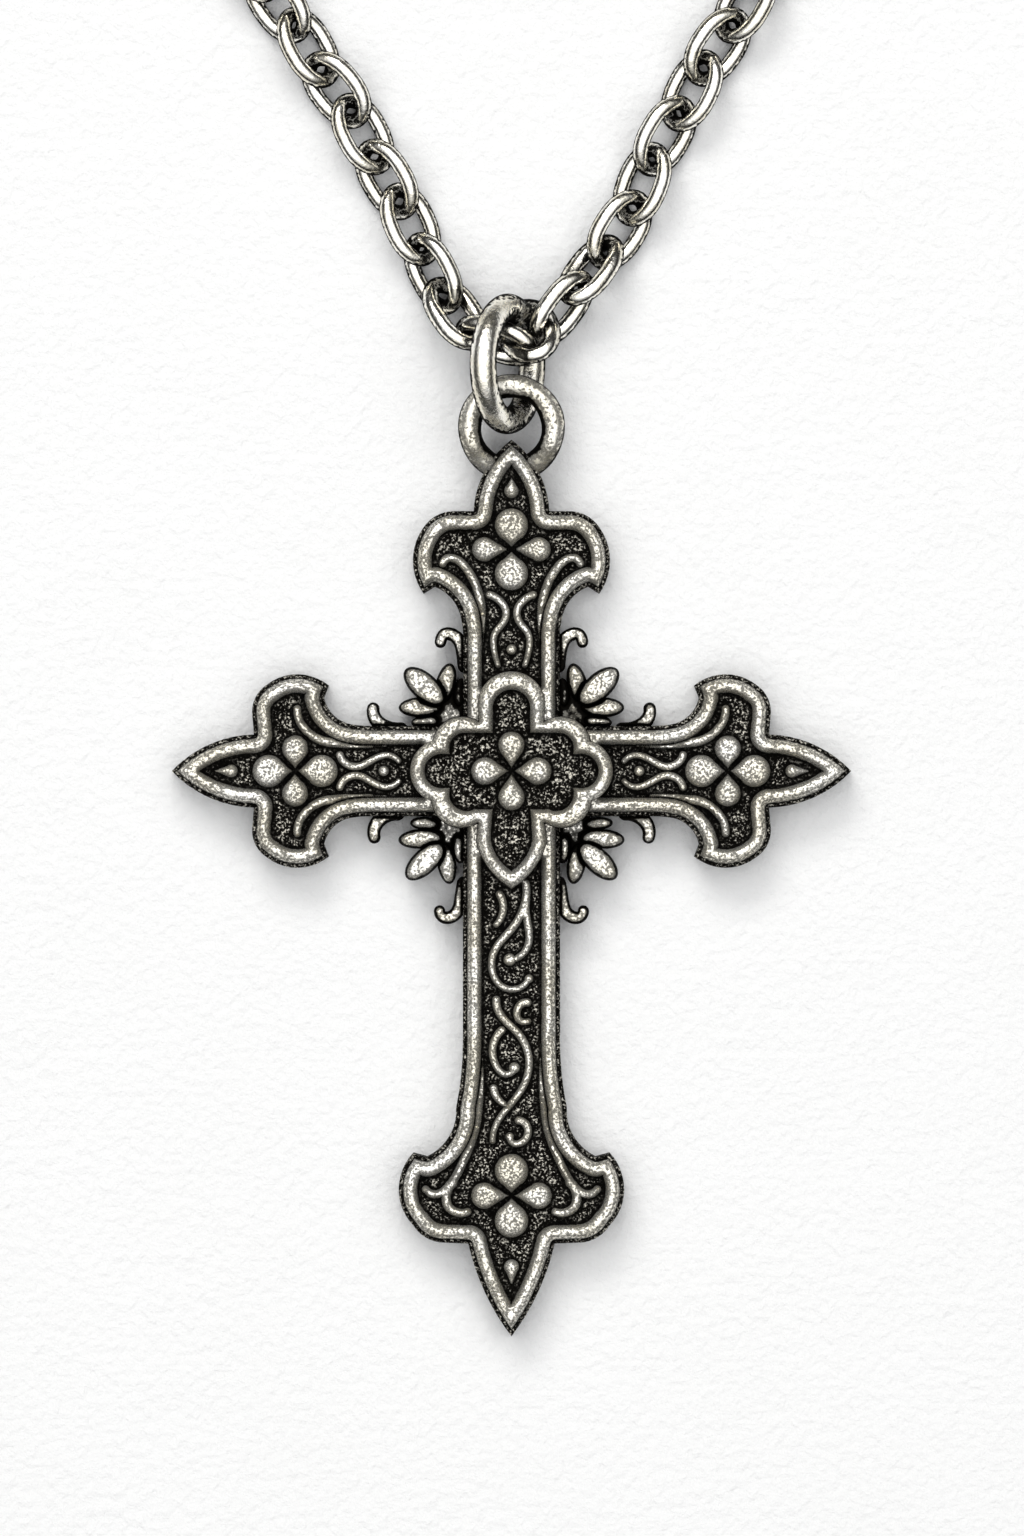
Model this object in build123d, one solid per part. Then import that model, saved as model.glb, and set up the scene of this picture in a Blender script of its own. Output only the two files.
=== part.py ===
from build123d import *
import os
from math import acos, cos, pi, radians, sin, tan

# A small silver cross pendant on a jump ring and a cable chain, lying face up.
# Millimetres. Origin: on the back face, under the middle of the boss.
# +X to the right arm, +Y to the top point, +Z out of the face.

# ---------------------------------------------------------------- heights
PLATE_T = 2.4  # cast plate, from its flat back to the ground of its face
RIM_H = 0.9  # half-round border above the ground
VOLUTE_H = 0.75
VINE_H = 0.55
PETAL_H = 1.0
BEAD_H = 0.5
BOSS_T = 1.2  # second layer, on the ground of the plate
BOSS_RIM_H = 0.95
BOSS_PETAL_H = 1.0
LEAF_Z = (0.7, 3.1)  # leaves in the four inner corners
WEB_TOP = 2.2  # top of the web at the leaves' roots
CURL_Z = (0.9, 2.6)  # hooked curls on the edges of the arms

# ---------------------------------------------------------------- widths
FLANGE = 0.22  # ledge outside the border
RIM_W = 0.85
VOLUTE_W = 0.58
TENDRIL_W = 0.46
VINE_W = 0.48
CURL_W = 0.8
THUMB_W = 0.86

# A terminal is drawn with its flower at the origin and its point along +Y.
# Each entry is (across, along) from the flower, for one half.
TOP_END = dict(
    at=12.4, neck=2.7, flare=-4.9, throat=(2.8, -4.0), hollow=(3.3, -2.8), lip=(4.3, -2.05),
    hook=(4.93, -2.45), side=(5.52, -0.6), shoulder=(4.95, 1.2), crown=(3.2, 2.15), root=(2.12, 2.15),
    belly=(1.55, 4.3), tip=6.15,
)
SIDE_END = dict(
    at=12.1, neck=2.53, flare=-4.2, throat=(2.62, -3.1), hollow=(3.05, -2.2), lip=(4.1, -1.58),
    hook=(4.8, -1.85), side=(5.42, -0.1), shoulder=(4.83, 1.6), crown=(3.3, 2.42), root=(2.05, 2.32),
    belly=(1.58, 4.6), tip=6.92,
)
FOOT_END = dict(
    at=23.75, neck=2.72, flare=-8.6, throat=(3.1, -4.9), hollow=(3.52, -3.2), lip=(4.72, -2.12),
    hook=(5.5, -2.33), side=(6.3, -0.6), shoulder=(5.5, 1.68), crown=(3.75, 2.65), root=(2.42, 2.7),
    belly=(1.68, 5.0), tip=7.9,
)
ARMS = dict(top=(TOP_END, 0), left=(SIDE_END, 90), bottom=(FOOT_END, 180), right=(SIDE_END, -90))

# Inner volutes, (across, along) from the flower, and the branch of the foot's volute.
VOLUTES = dict(
    top=[[(1.86, -5.3), (1.72, -4.2), (1.7, -3.3), (1.86, -2.4), (2.3, -1.4), (2.85, -0.72), (3.42, -0.47),
          (3.85, -0.8)]],
    left=[[(1.64, -5.0), (1.54, -3.8), (1.56, -2.5), (1.74, -1.4), (2.15, -0.75), (2.8, -0.25), (3.48, -0.12)]],
    bottom=[
        [(1.86, -7.6), (1.8, -6.2), (1.86, -5.0), (2.02, -3.8), (2.32, -2.8), (2.75, -1.8), (3.25, -0.85),
         (3.9, -0.2), (4.45, -0.05), (4.8, -0.35)],
        [(3.3, -0.7), (3.66, 0.05), (3.5, 0.65), (3.0, 0.95), (2.45, 0.9)],
    ],
)
VOLUTES["right"] = VOLUTES["left"]

# Flowers: (reach, bulb radius) of the petals along the arm and across it.
FLOWERS = dict(
    top=((1.36, 0.95), (1.52, 0.7)),
    left=((1.48, 0.92), (1.25, 0.77)),
    bottom=((1.4, 0.96), (1.52, 0.76)),
    right=((1.48, 0.92), (1.25, 0.77)),
)
BOSS_FLOWER = ((1.46, 0.78), (1.48, 0.8))

# Paired tendrils between the boss and a flower, (across, from the centre), with a bead.
TOP_TENDRIL = [(1.22, 9.86), (0.59, 9.46), (0.3, 8.9), (0.5, 8.25), (0.9, 7.75), (0.98, 6.8), (0.74, 5.9)]
SIDE_TENDRIL = [(0.9, 9.6), (0.38, 9.2), (0.25, 8.6), (0.56, 7.9), (0.88, 7.15), (0.56, 6.3)]
TENDRIL_BEAD = 0.3

# The running vine on the shaft: curves from its upper end to its lower end.
VINE = [
    [(0.8, -6.3), (0.75, -7.4), (0.0, -8.85), (-0.9, -9.95), (-1.07, -11.2), (-0.45, -12.1), (0.4, -12.15),
     (0.95, -11.6)],
    [(0.82, -7.2), (0.92, -8.6), (0.94, -9.7), (0.5, -10.35), (-0.15, -10.55)],
    [(-0.66, -6.9), (-0.46, -7.5), (-0.58, -8.2), (-0.86, -8.6)],
    [(-0.85, -12.8), (-0.5, -13.8), (0.35, -14.65), (0.95, -15.9), (0.85, -17.2), (0.15, -18.4), (-0.65, -19.4),
     (-1.05, -20.7)],
    [(-0.55, -14.5), (-1.02, -15.3), (-0.98, -16.2), (-0.4, -16.95), (0.16, -16.75)],
    [(0.9, -12.95), (0.4, -13.2), (0.35, -13.8), (0.95, -14.0)],
    [(-1.0, -17.75), (-0.85, -18.2), (-0.45, -18.6)],
    [(0.4, -19.55), (0.88, -19.9), (0.78, -20.6), (0.2, -20.85), (-0.12, -20.4)],
]
VINE_BULBS = [(-0.1, -10.55, 0.36), (0.16, -16.6, 0.32), (0.98, -11.62, 0.26), (-0.1, -20.45, 0.25)]

# Curls on the edges of the arms, for the +X half: start, way, hooked tip.
CURLS = [
    ([(2.62, 5.9), (2.74, 6.8), (3.08, 7.48), (3.6, 7.7), (3.98, 7.22)], CURL_W),
    ([(2.66, -6.3), (2.86, -7.4), (3.25, -8.1), (3.7, -8.22), (4.03, -7.85)], CURL_W),
    ([(6.2, 2.3), (7.05, 2.45), (7.64, 2.95), (7.74, 3.5)], THUMB_W),
    ([(6.4, -2.35), (7.15, -2.55), (7.64, -3.1), (7.68, -3.72)], THUMB_W),
]

# Leaves of one inner corner for the +X side, as (middle, half length, half width, heading in degrees).
UPPER_LEAVES = [
    ((4.88, 4.74), 1.42, 0.74, 42),
    ((3.69, 4.92), 1.14, 0.54, 105),
    ((5.11, 3.58), 1.2, 0.56, -2),
    ((4.86, 2.76), 0.76, 0.36, -5),
    ((2.9, 4.41), 0.8, 0.36, 95),
]
LOWER_LEAVES = [
    ((4.85, -5.06), 1.38, 0.7, -43),
    ((3.63, -5.22), 1.12, 0.52, -100),
    ((5.11, -3.8), 1.22, 0.55, -3),
    ((4.9, -2.94), 0.78, 0.36, 4),
    ((2.92, -4.4), 0.78, 0.36, -95),
]
LEAF_WEB = (3.5, 1.3)  # the low web between the leaves' roots: its middle across and along, its radius

# Boss: round lobes (x, y, radius) outside, and the recess inside its border.
BOSS_LOBES = [(0, 3.68, 1.9), (2.75, 1.35, 1.72), (3.9, 0, 1.78), (2.8, -1.5, 1.7)]
BOSS_RECESS = [(0, 3.5, 1.03), (2.55, 1.2, 0.88), (3.9, 0, 0.94), (2.5, -1.3, 0.9)]
BOSS_FOOT = dict(wide=(2.0, -3.9), tip=-6.6)
RECESS_FOOT = dict(wide=(1.13, -3.9), tip=-5.55)
BOSS_BODY, RECESS_BODY = (5.6, 4.4, 0.1), (6.86, 4.2, 0.8)

# Small ornaments in the four points, (from the flower, reach, bulb).
POINT_BEADS = dict(top=(2.85, 0.8, 0.42), left=(3.2, 1.1, 0.38), bottom=(3.55, 1.1, 0.44), right=(3.2, 1.1, 0.38))

# ---------------------------------------------------------------- bail, jump ring, link
BAIL_WIRE, BAIL_R, BAIL_Y, BAIL_Z = 1.3, 2.34, 19.2, 2.75
RING_WIRE, RING_R = 1.5, 3.18
RING_AT, RING_TILT, RING_YAW = (-0.21, 22.735, 3.64), 64.6, -1.5
LINK_WIRE, LINK_LENGTH, LINK_WIDTH = 0.95, 5.05, 3.55
LINK_AT, LINK_TURN = (0.962, 24.609, 2.281), (-47.8, -1.5, 23.1)

# ---------------------------------------------------------------- chain
CHAIN_D = 2.8  # the round that the chain's links fill as they lie
LAY = CHAIN_D / 2  # height of the chain's middle on the surface
UPPER = LAY + CHAIN_D + 0.05  # the same for chain lying on chain
# Ways of the two strands from the link in the ring to the coil, then from the coil to the clasp.
LEFT_ROUTE = [
    (-2.6, 25.0, LAY), (-3.4, 26.9, LAY), (-5.5, 30.3, LAY), (-7.9, 35.2, LAY), (-10.9, 39.9, LAY),
    (-13.6, 43.6, LAY), (-17.2, 50.0, LAY), (-19.5, 56.6, LAY), (-19.6, 63.0, LAY),
]
RIGHT_ROUTE = [
    (2.4, 25.0, LAY), (4.1, 27.6, LAY), (6.3, 30.8, LAY), (8.1, 34.6, LAY), (10.1, 38.2, LAY),
    (12.9, 42.9, LAY), (16.6, 48.2, 2.1), (19.3, 54.6, UPPER), (19.6, 63.0, UPPER),
]
LEFT_TAIL = [(12.6, 74.3, LAY), (13.4, 67.0, LAY), (10.8, 61.0, LAY), (6.1, 57.6, LAY)]
RIGHT_TAIL = [(-12.6, 74.3, UPPER), (-13.4, 67.0, UPPER), (-11.2, 61.3, 3.6), (-7.3, 57.6, LAY)]
COIL_Y, COIL_R, COIL_PITCH, COIL_TURNS = 67.0, 19.6, 3.1, 1.33
TUBE_FROM = 1  # the plain solids leave the first run free, beside the moving ring

# ---------------------------------------------------------------- clasp, its nose along +X
CLASP_AT = (0, 57.3, 1.8)
CLASP_T = 1.6
NOSE_X, NOSE_R, NOSE_HOLE = 1.5, 2.55, 1.6
EYE_X, EYE_R, EYE_HOLE = -3.6, 1.25, 0.7
PIN_R, PIN_TURN = 0.4, 140  # the pin stands on the middle of the nose's band
GATE = (-20, 125)  # where the lever closes the nose, in degrees
LEVER_T, LEVER_REACH, LEVER_HUB = 0.9, 3.4, 0.72  # the reach and the hub are about the pin
SLOT_T, SLOT_R = 1.1, 1.0
RUN_FIT = 0.05  # radial clearance of the lever on its pin
TIP_GAP = 0.07  # between the lever's end and the nose
SIDE_GAP = 0.02  # the lever stands this far inside the nose's edges
THUMB_R, THUMB_TURN = 0.5, 95
SPRING_WIRE, SPRING_L, SPRING_FIT = 0.3, 1.5, 0.1
SPRING_OFF = (-1.55, -0.35)  # middle of the spring, from the pin
SMALL_WIRE, SMALL_R = 0.7, 1.45  # the two small rings of the clasp
END_RING_X, CLASP_RING_X = 3.6, -4.9


def outline(end):
    """One terminal and its arm, as a face, with the point along +Y."""
    neck, root = (end["neck"], end["flare"]), (end["neck"], -end["at"])
    tip = (0, end["tip"])
    half = (
        Line((0, root[1]), root) + Line(root, neck) + TangentArc(neck, end["throat"], tangent=(0, 1))
        + ThreePointArc(end["throat"], end["hollow"], end["lip"])
        + Line(end["lip"], end["hook"]) + ThreePointArc(end["hook"], end["side"], end["shoulder"])
        + ThreePointArc(end["shoulder"], bulge(end["shoulder"], end["crown"]), end["crown"])
        + Line(end["crown"], end["root"]) + ThreePointArc(end["root"], end["belly"], tip)
    )
    face = make_face(half + Line(tip, (0, root[1])))
    return face + mirror(face, about=Plane.YZ)


def bulge(a, b, rise=0.13):
    """A point beside the middle of a run, on its outer side."""
    dx, dy = b[0] - a[0], b[1] - a[1]
    return ((a[0] + b[0]) / 2 + dy * rise, (a[1] + b[1]) / 2 - dx * rise)


def on_arm(shape, name):
    """Moves a shape drawn at the flower to its place on the named arm."""
    end, turn = ARMS[name]
    return Rot(0, 0, turn) * Pos(0, end["at"]) * shape


def ribbon(points, width, taper=0.55, steps=12):
    """A strip of the given width along a curve, narrower at its end, with round ends."""
    way = Spline(*points)
    left, right = [], []
    for i in range(steps + 1):
        t = i / steps
        p, d = way @ t, (way % t).normalized()
        half = width / 2 * (1 - (1 - taper) * t**2)
        left.append((p.X - d.Y * half, p.Y + d.X * half))
        right.append((p.X + d.Y * half, p.Y - d.X * half))
    head, tail = way % 0, way % 1
    start = way @ 0 - head.normalized() * width / 2
    end = way @ 1 + tail.normalized() * width / 2 * taper
    return make_face(
        Spline(*left) + ThreePointArc(left[-1], (end.X, end.Y), right[-1])
        + Spline(*right[::-1]) + ThreePointArc(right[0], (start.X, start.Y), left[0])
    )


def petal(reach, bulb):
    """A teardrop with its tip at the origin and its round end along +Y."""
    lean = acos(bulb / reach)
    touch = (bulb * sin(lean), reach - bulb * cos(lean))
    other = (-touch[0], touch[1])
    return make_face(
        Line((0, 0), touch) + ThreePointArc(touch, (0, reach + bulb), other) + Line(other, (0, 0))
    )


def flower(along, across, gap=0.12):
    """Four petals with their tips near the origin."""
    kinds = [along, across, along, across]
    return [Rot(0, 0, 90 * i) * Pos(0, gap) * petal(reach - gap, bulb) for i, (reach, bulb) in enumerate(kinds)]


def both(face):
    """The face and its mirror image across the Y axis."""
    return [face, mirror(face, about=Plane.YZ)]


def merged(faces):
    """All the faces as one sketch."""
    total = faces[0]
    for face in faces[1:]:
        total = total + face
    return total


def ogive(wide, tip, top):
    """A pointed foot, round-sided, closed by a straight top edge."""
    w, y = wide
    half = Line((0, top), (w * 0.8, top)) + Line((w * 0.8, top), (w, y)) + ThreePointArc(
        (w, y), (w * 0.66, y + (tip - y) * 0.56), (0, tip)
    )
    face = make_face(half + Line((0, tip), (0, top)))
    return face + mirror(face, about=Plane.YZ)


def boss_shape(lobes, foot, body):
    """Round lobes on both sides of a plain middle, over a pointed foot."""
    rounds = [Pos(side * x, y) * Circle(r) for x, y, r in lobes for side in (1, -1)]
    stem = Pos(0, lobes[0][1] / 2) * Rectangle(2 * lobes[0][2] * 0.98, lobes[0][1])
    bar = Rectangle(2 * lobes[2][0], 2 * lobes[2][2] * 0.98)
    return merged([RectangleRounded(*body), stem, bar, ogive(foot["wide"], foot["tip"], 0), *rounds])


def raised(face, low, height):
    """A sketch as a solid between two heights."""
    return extrude(Pos(0, 0, low) * face, amount=height)


def group(shapes):
    """Separate solids kept together in one node."""
    return Compound(children=[solid for shape in shapes for solid in shape.solids()])


# ---------------------------------------------------------------- plate and border
cross_face = merged([on_arm(outline(end), name) for name, (end, turn) in ARMS.items()])
boss_face = boss_shape(BOSS_LOBES, BOSS_FOOT, BOSS_BODY)
recess_face = boss_shape(BOSS_RECESS, RECESS_FOOT, RECESS_BODY)
boss_block = raised(boss_face, PLATE_T, BOSS_T + BOSS_RIM_H)

border_face = offset(cross_face, -FLANGE) - offset(cross_face, -FLANGE - RIM_W)
plate = raised(cross_face, 0, PLATE_T)
border = raised(border_face, PLATE_T, RIM_H) - boss_block


# ---------------------------------------------------------------- ornament on the ground
def volute(name):
    """The pair of inner volutes of one terminal."""
    strip = merged([ribbon(points, VOLUTE_W, taper=0.8) for points in VOLUTES[name]])
    faces = [on_arm(f, name) - border_face for f in both(strip)]
    return group([raised(f, PLATE_T, VOLUTE_H) - boss_block for f in faces])


def flower_on(name):
    """The four petals of one terminal."""
    return group([raised(on_arm(p, name), PLATE_T, PETAL_H) for p in flower(*FLOWERS[name])])


def tendril(points, name):
    """The pair of tendrils between the boss and one flower, and the bead between them."""
    turn = Rot(0, 0, ARMS[name][1])
    bead = Pos(0, points[-2][1]) * Circle(TENDRIL_BEAD)
    faces = [turn * f for f in both(ribbon(points, TENDRIL_W, taper=0.7)) + [bead]]
    return group([raised(f, PLATE_T, VINE_H) - boss_block for f in faces])


def vine():
    """The running vine of the shaft, with its bulbs."""
    stems = [ribbon(points, VINE_W, taper=0.75) for points in VINE]
    bulbs = [Pos(x, y) * Circle(r) for x, y, r in VINE_BULBS]
    return group([raised(merged(stems + bulbs), PLATE_T, VINE_H) - boss_block])


def leaf(middle, half_length, half_width, heading):
    """An oval leaf."""
    return Pos(*middle) * Rot(0, 0, heading) * Ellipse(half_length, half_width)


def leaf_corner(leaves, flip_x):
    """The leaves in one inner corner of the cross, with the web at their roots, outside the plate."""
    across, radius = LEAF_WEB
    low, high = LEAF_Z
    faces, taken = [], None
    for face in [leaf(*one) for one in leaves]:
        faces.append(face - taken if taken else face)
        taken = taken + face if taken else face
    web = Pos(across, across if leaves[0][0][1] > 0 else -across) * Circle(radius) - taken
    shapes = [raised(face, low, high - low) for face in faces] + [raised(web, low, WEB_TOP - low)]
    if flip_x:
        shapes = [mirror(shape, about=Plane.YZ) for shape in shapes]
    return group([shape - plate - border - boss_block for shape in shapes])


def edge_curls(picked):
    """Curls on both edges of the arms, soldered to the plate's side."""
    low, high = CURL_Z
    faces = [f for points, width in picked for f in both(ribbon(points, width, taper=0.8))]
    return group([raised(f, low, high - low) - plate - border for f in faces])


def point_bead(name):
    """The small drop inside one point."""
    along, reach, bulb = POINT_BEADS[name]
    return raised(on_arm(Pos(0, along + reach + bulb) * Rot(0, 0, 180) * petal(reach, bulb), name), PLATE_T, BEAD_H)


# ---------------------------------------------------------------- boss
boss_plate = raised(boss_face, PLATE_T, BOSS_T)
boss_rim = raised(boss_face - recess_face, PLATE_T + BOSS_T, BOSS_RIM_H)
boss_flower = group([raised(p, PLATE_T + BOSS_T, BOSS_PETAL_H) for p in flower(*BOSS_FLOWER)])


# ---------------------------------------------------------------- bail, ring and link
def oval(length, width, wire):
    """A closed link of round wire, its long side along Y."""
    bend = (width - wire) / 2
    run = (length - width) / 2
    way = Line((bend, -run), (bend, run)) + ThreePointArc((bend, run), (0, run + bend), (-bend, run))
    way += Line((-bend, run), (-bend, -run)) + ThreePointArc((-bend, -run), (0, -run - bend), (bend, -run))
    section = Plane(origin=(bend, 0, 0), x_dir=(1, 0, 0), z_dir=(0, 1, 0)) * Circle(wire / 2)
    return sweep(section, path=Wire(way.edges()))


bail = Pos(0, BAIL_Y, BAIL_Z) * Torus(BAIL_R, BAIL_WIRE / 2)
bail = bail - raised(cross_face, 0, PLATE_T) - raised(offset(cross_face, -FLANGE), PLATE_T, 2 * RIM_H)
ring_place = Pos(*RING_AT) * Rot(0, 0, RING_YAW) * Rot(0, RING_TILT, 0)
jump_ring = ring_place * Torus(RING_R, RING_WIRE / 2)
link_x, link_y, link_z = LINK_TURN
link_place = Pos(*LINK_AT) * Rot(0, 0, link_z) * Rot(link_x, 0, 0) * Rot(0, link_y, 0)
centre_link = link_place * oval(LINK_LENGTH, LINK_WIDTH, LINK_WIRE)


# ---------------------------------------------------------------- chain as plain solids
def corner_radii(points):
    """The largest arc that the two runs at each corner allow."""
    radii = []
    for a, b, c in zip(points, points[1:], points[2:]):
        before, after = Vector(*b) - Vector(*a), Vector(*c) - Vector(*b)
        turn = radians(before.get_angle(after))
        radii.append(0.45 * min(before.length, after.length) / tan(turn / 2))
    return radii


def tube(points, name):
    """The chain's plain solid along a route."""
    radii = corner_radii(points)
    way = FilletPolyline(*points, radius=radii)
    body = sweep(Plane(origin=way @ 0, z_dir=way % 0) * Circle(CHAIN_D / 2), path=way)
    print(name, "arc radii", [round(r, 1) for r in radii], "length", round(way.length, 2))
    print(name, "volume by section times length", round(body.volume / (pi * LAY**2 * way.length), 4))
    return body


def coil(low):
    """The outer shape of one strand's flat coil."""
    inner = COIL_R - COIL_PITCH * COIL_TURNS - LAY
    return Pos(0, COIL_Y, low) * extrude(Circle(COIL_R + LAY) - Circle(inner), amount=CHAIN_D)


left_coil = coil(0)
right_coil = coil(UPPER - LAY)
coils = left_coil + right_coil
left_strand = tube(LEFT_ROUTE[TUBE_FROM:], "left_strand") - coils
right_strand = tube(RIGHT_ROUTE[TUBE_FROM:], "right_strand") - coils
left_tail = tube(LEFT_TAIL, "left_tail") - coils
right_tail = tube(RIGHT_TAIL, "right_tail") - coils


# ---------------------------------------------------------------- clasp
def around(radius, turn):
    """A point on a circle about the middle of the clasp's nose."""
    return NOSE_X + radius * cos(radians(turn)), radius * sin(radians(turn))


def sector(inner, outer, start, stop):
    """A part of a ring about the middle of the nose."""
    middle = (start + stop) / 2
    return make_face(
        ThreePointArc(around(inner, start), around(inner, middle), around(inner, stop))
        + Line(around(inner, stop), around(outer, stop))
        + ThreePointArc(around(outer, stop), around(outer, middle), around(outer, start))
        + Line(around(outer, start), around(inner, start))
    )


def flat(face, thickness):
    """A sketch as a solid centred on the clasp's middle plane."""
    return Pos(*CLASP_AT) * extrude(Pos(0, 0, -thickness / 2) * face, amount=thickness)


pin_x, pin_y = around((NOSE_R + NOSE_HOLE) / 2, PIN_TURN)
pin_spot = Pos(pin_x, pin_y)
spring_spot = pin_spot * Pos(*SPRING_OFF)
waist = make_hull((Pos(NOSE_X, 0) * Circle(NOSE_R) + Pos(EYE_X, 0) * Circle(EYE_R)).edges())
gate = sector(NOSE_HOLE / 2, NOSE_R + THUMB_R, *GATE) & pin_spot * Circle(LEVER_REACH + TIP_GAP)
shell = waist - Pos(NOSE_X, 0) * Circle(NOSE_HOLE) - Pos(EYE_X, 0) * Circle(EYE_HOLE) - gate
spring_room = spring_spot * Rectangle(SPRING_L + 2 * SPRING_FIT, SPRING_WIRE + SPRING_FIT)
slot = pin_spot * Circle(SLOT_R) + spring_room
clasp_pin = flat(pin_spot * Circle(PIN_R), CLASP_T)
clasp_body = flat(shell, CLASP_T) - flat(slot, SLOT_T) - clasp_pin
arm = sector(NOSE_HOLE + SIDE_GAP, NOSE_R - SIDE_GAP, GATE[0], PIN_TURN) & pin_spot * Circle(LEVER_REACH)
thumb = Pos(*around(NOSE_R, THUMB_TURN)) * Circle(THUMB_R)
hub = pin_spot * Circle(LEVER_HUB)
clasp_lever = flat(arm + thumb + hub - pin_spot * Circle(PIN_R + RUN_FIT), LEVER_T)
clasp_spring = flat(spring_spot * Rectangle(SPRING_L, SPRING_WIRE), SPRING_WIRE)
small_ring = Rot(90, 0, 0) * Torus(SMALL_R, SMALL_WIRE / 2)
end_ring = Pos(*CLASP_AT) * Pos(END_RING_X, 0, 0) * small_ring
clasp_ring = Pos(*CLASP_AT) * Pos(CLASP_RING_X, 0, 0) * small_ring

NODES = dict(
    cross_plate=plate,
    border_rim=border,
    boss_plate=boss_plate,
    boss_rim=boss_rim,
    boss_flower=boss_flower,
    shaft_vine=vine(),
    top_tendrils=tendril(TOP_TENDRIL, "top"),
    left_tendrils=tendril(SIDE_TENDRIL, "left"),
    right_tendrils=tendril(SIDE_TENDRIL, "right"),
    upper_curls=edge_curls(CURLS[:1]),
    shaft_curls=edge_curls(CURLS[1:2]),
    arm_curls=edge_curls(CURLS[2:]),
    bail=bail,
    jump_ring=jump_ring,
    centre_link=centre_link,
    left_strand=left_strand,
    right_strand=right_strand,
    left_coil=left_coil,
    right_coil=right_coil,
    left_tail=left_tail,
    right_tail=right_tail,
    clasp_body=clasp_body,
    clasp_lever=clasp_lever,
    clasp_pin=clasp_pin,
    clasp_spring=clasp_spring,
    clasp_ring=clasp_ring,
    end_ring=end_ring,
)
for arm in ARMS:
    NODES[f"{arm}_volutes"] = volute(arm)
    NODES[f"{arm}_flower"] = flower_on(arm)
    NODES[f"{arm}_point_drop"] = point_bead(arm)
for level, leaves in (("upper", UPPER_LEAVES), ("lower", LOWER_LEAVES)):
    for side in ("left", "right"):
        NODES[f"{level}_{side}_leaves"] = leaf_corner(leaves, side == "left")

os.makedirs("parts", exist_ok=True)
for node, shape in NODES.items():
    export_step(shape, f"parts/{node}.step")
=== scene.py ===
"""An antique-silver cross pendant on a jump ring and a cable chain, lying face up on white paper."""
import math
import random

import bmesh
import bpy
import numpy as np
from mathutils import Matrix, Vector, geometry, kdtree, noise


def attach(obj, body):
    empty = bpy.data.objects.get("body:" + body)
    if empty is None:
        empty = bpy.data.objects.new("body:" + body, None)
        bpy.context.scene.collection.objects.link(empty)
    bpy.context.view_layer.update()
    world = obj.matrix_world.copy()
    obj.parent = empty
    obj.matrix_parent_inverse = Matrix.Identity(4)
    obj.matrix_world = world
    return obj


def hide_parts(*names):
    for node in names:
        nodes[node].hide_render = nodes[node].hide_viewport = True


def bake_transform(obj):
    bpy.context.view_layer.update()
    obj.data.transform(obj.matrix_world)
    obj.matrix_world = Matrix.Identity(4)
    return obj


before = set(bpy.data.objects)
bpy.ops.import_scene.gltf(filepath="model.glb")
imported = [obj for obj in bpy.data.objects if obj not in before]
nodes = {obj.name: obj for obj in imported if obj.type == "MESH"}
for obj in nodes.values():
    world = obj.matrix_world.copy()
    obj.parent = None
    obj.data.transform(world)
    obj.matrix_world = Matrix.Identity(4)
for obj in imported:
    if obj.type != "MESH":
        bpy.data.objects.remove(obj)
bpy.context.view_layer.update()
MM = 0.001
rng = random.Random(7)

# ---------------------------------------------------------------- camera, lights, paper
VIEW_CENTRE = Vector((0.03, 0.17, 0)) * MM
VIEW_HEIGHT = 86.3 * MM
CAMERA_DISTANCE = 0.6
SENSOR = 36.0


def make_camera():
    """A long lens straight above the face."""
    data = bpy.data.cameras.new("camera")
    data.sensor_fit = "VERTICAL"
    data.sensor_height = SENSOR
    data.lens = SENSOR * CAMERA_DISTANCE / VIEW_HEIGHT
    data.clip_start = 0.01
    camera = bpy.data.objects.new("camera", data)
    camera.location = VIEW_CENTRE + Vector((0, 0, CAMERA_DISTANCE))
    bpy.context.scene.collection.objects.link(camera)
    bpy.context.scene.camera = camera


def area_light(name, place, aim, size, power, colour=(1, 1, 1)):
    """A soft square light that faces a point."""
    data = bpy.data.lights.new(name, "AREA")
    data.shape = "RECTANGLE"
    data.size, data.size_y = size
    data.energy = power
    data.color = colour
    light = bpy.data.objects.new(name, data)
    light.location = place
    light.rotation_euler = (Vector(aim) - Vector(place)).to_track_quat("-Z", "Y").to_euler()
    bpy.context.scene.collection.objects.link(light)


def plain_colours():
    """Colours as they are, with no film curve."""
    bpy.context.scene.view_settings.view_transform = "Standard"


def make_world(zenith, horizon, bright_above=0.85, dark_below=0.45):
    """A room that is bright overhead and dark at the height of the table. Heights are sines of the angle
    above the table."""
    world = bpy.data.worlds.new("room")
    world.use_nodes = True
    tree = world.node_tree
    place = tree.nodes.new("ShaderNodeTexCoord")
    split = tree.nodes.new("ShaderNodeSeparateXYZ")
    level = tree.nodes.new("ShaderNodeMapRange")
    level.interpolation_type = "SMOOTHSTEP"
    for socket, value in zip(level.inputs[1:5], (dark_below, bright_above, horizon, zenith)):
        socket.default_value = value
    tree.links.new(place.outputs["Generated"], split.inputs[0])
    tree.links.new(split.outputs["Z"], level.inputs["Value"])
    back = tree.nodes["Background"]
    back.inputs["Color"].default_value = (0.98, 0.985, 1.0, 1)
    tree.links.new(level.outputs[0], back.inputs["Strength"])
    bpy.context.scene.world = world


def new_object(name, mesh, body=None):
    """Links a mesh to the scene, and lets it ride on a body."""
    piece = bpy.data.objects.new(name, mesh)
    bpy.context.scene.collection.objects.link(piece)
    if body:
        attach(piece, body)
    return piece


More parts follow.
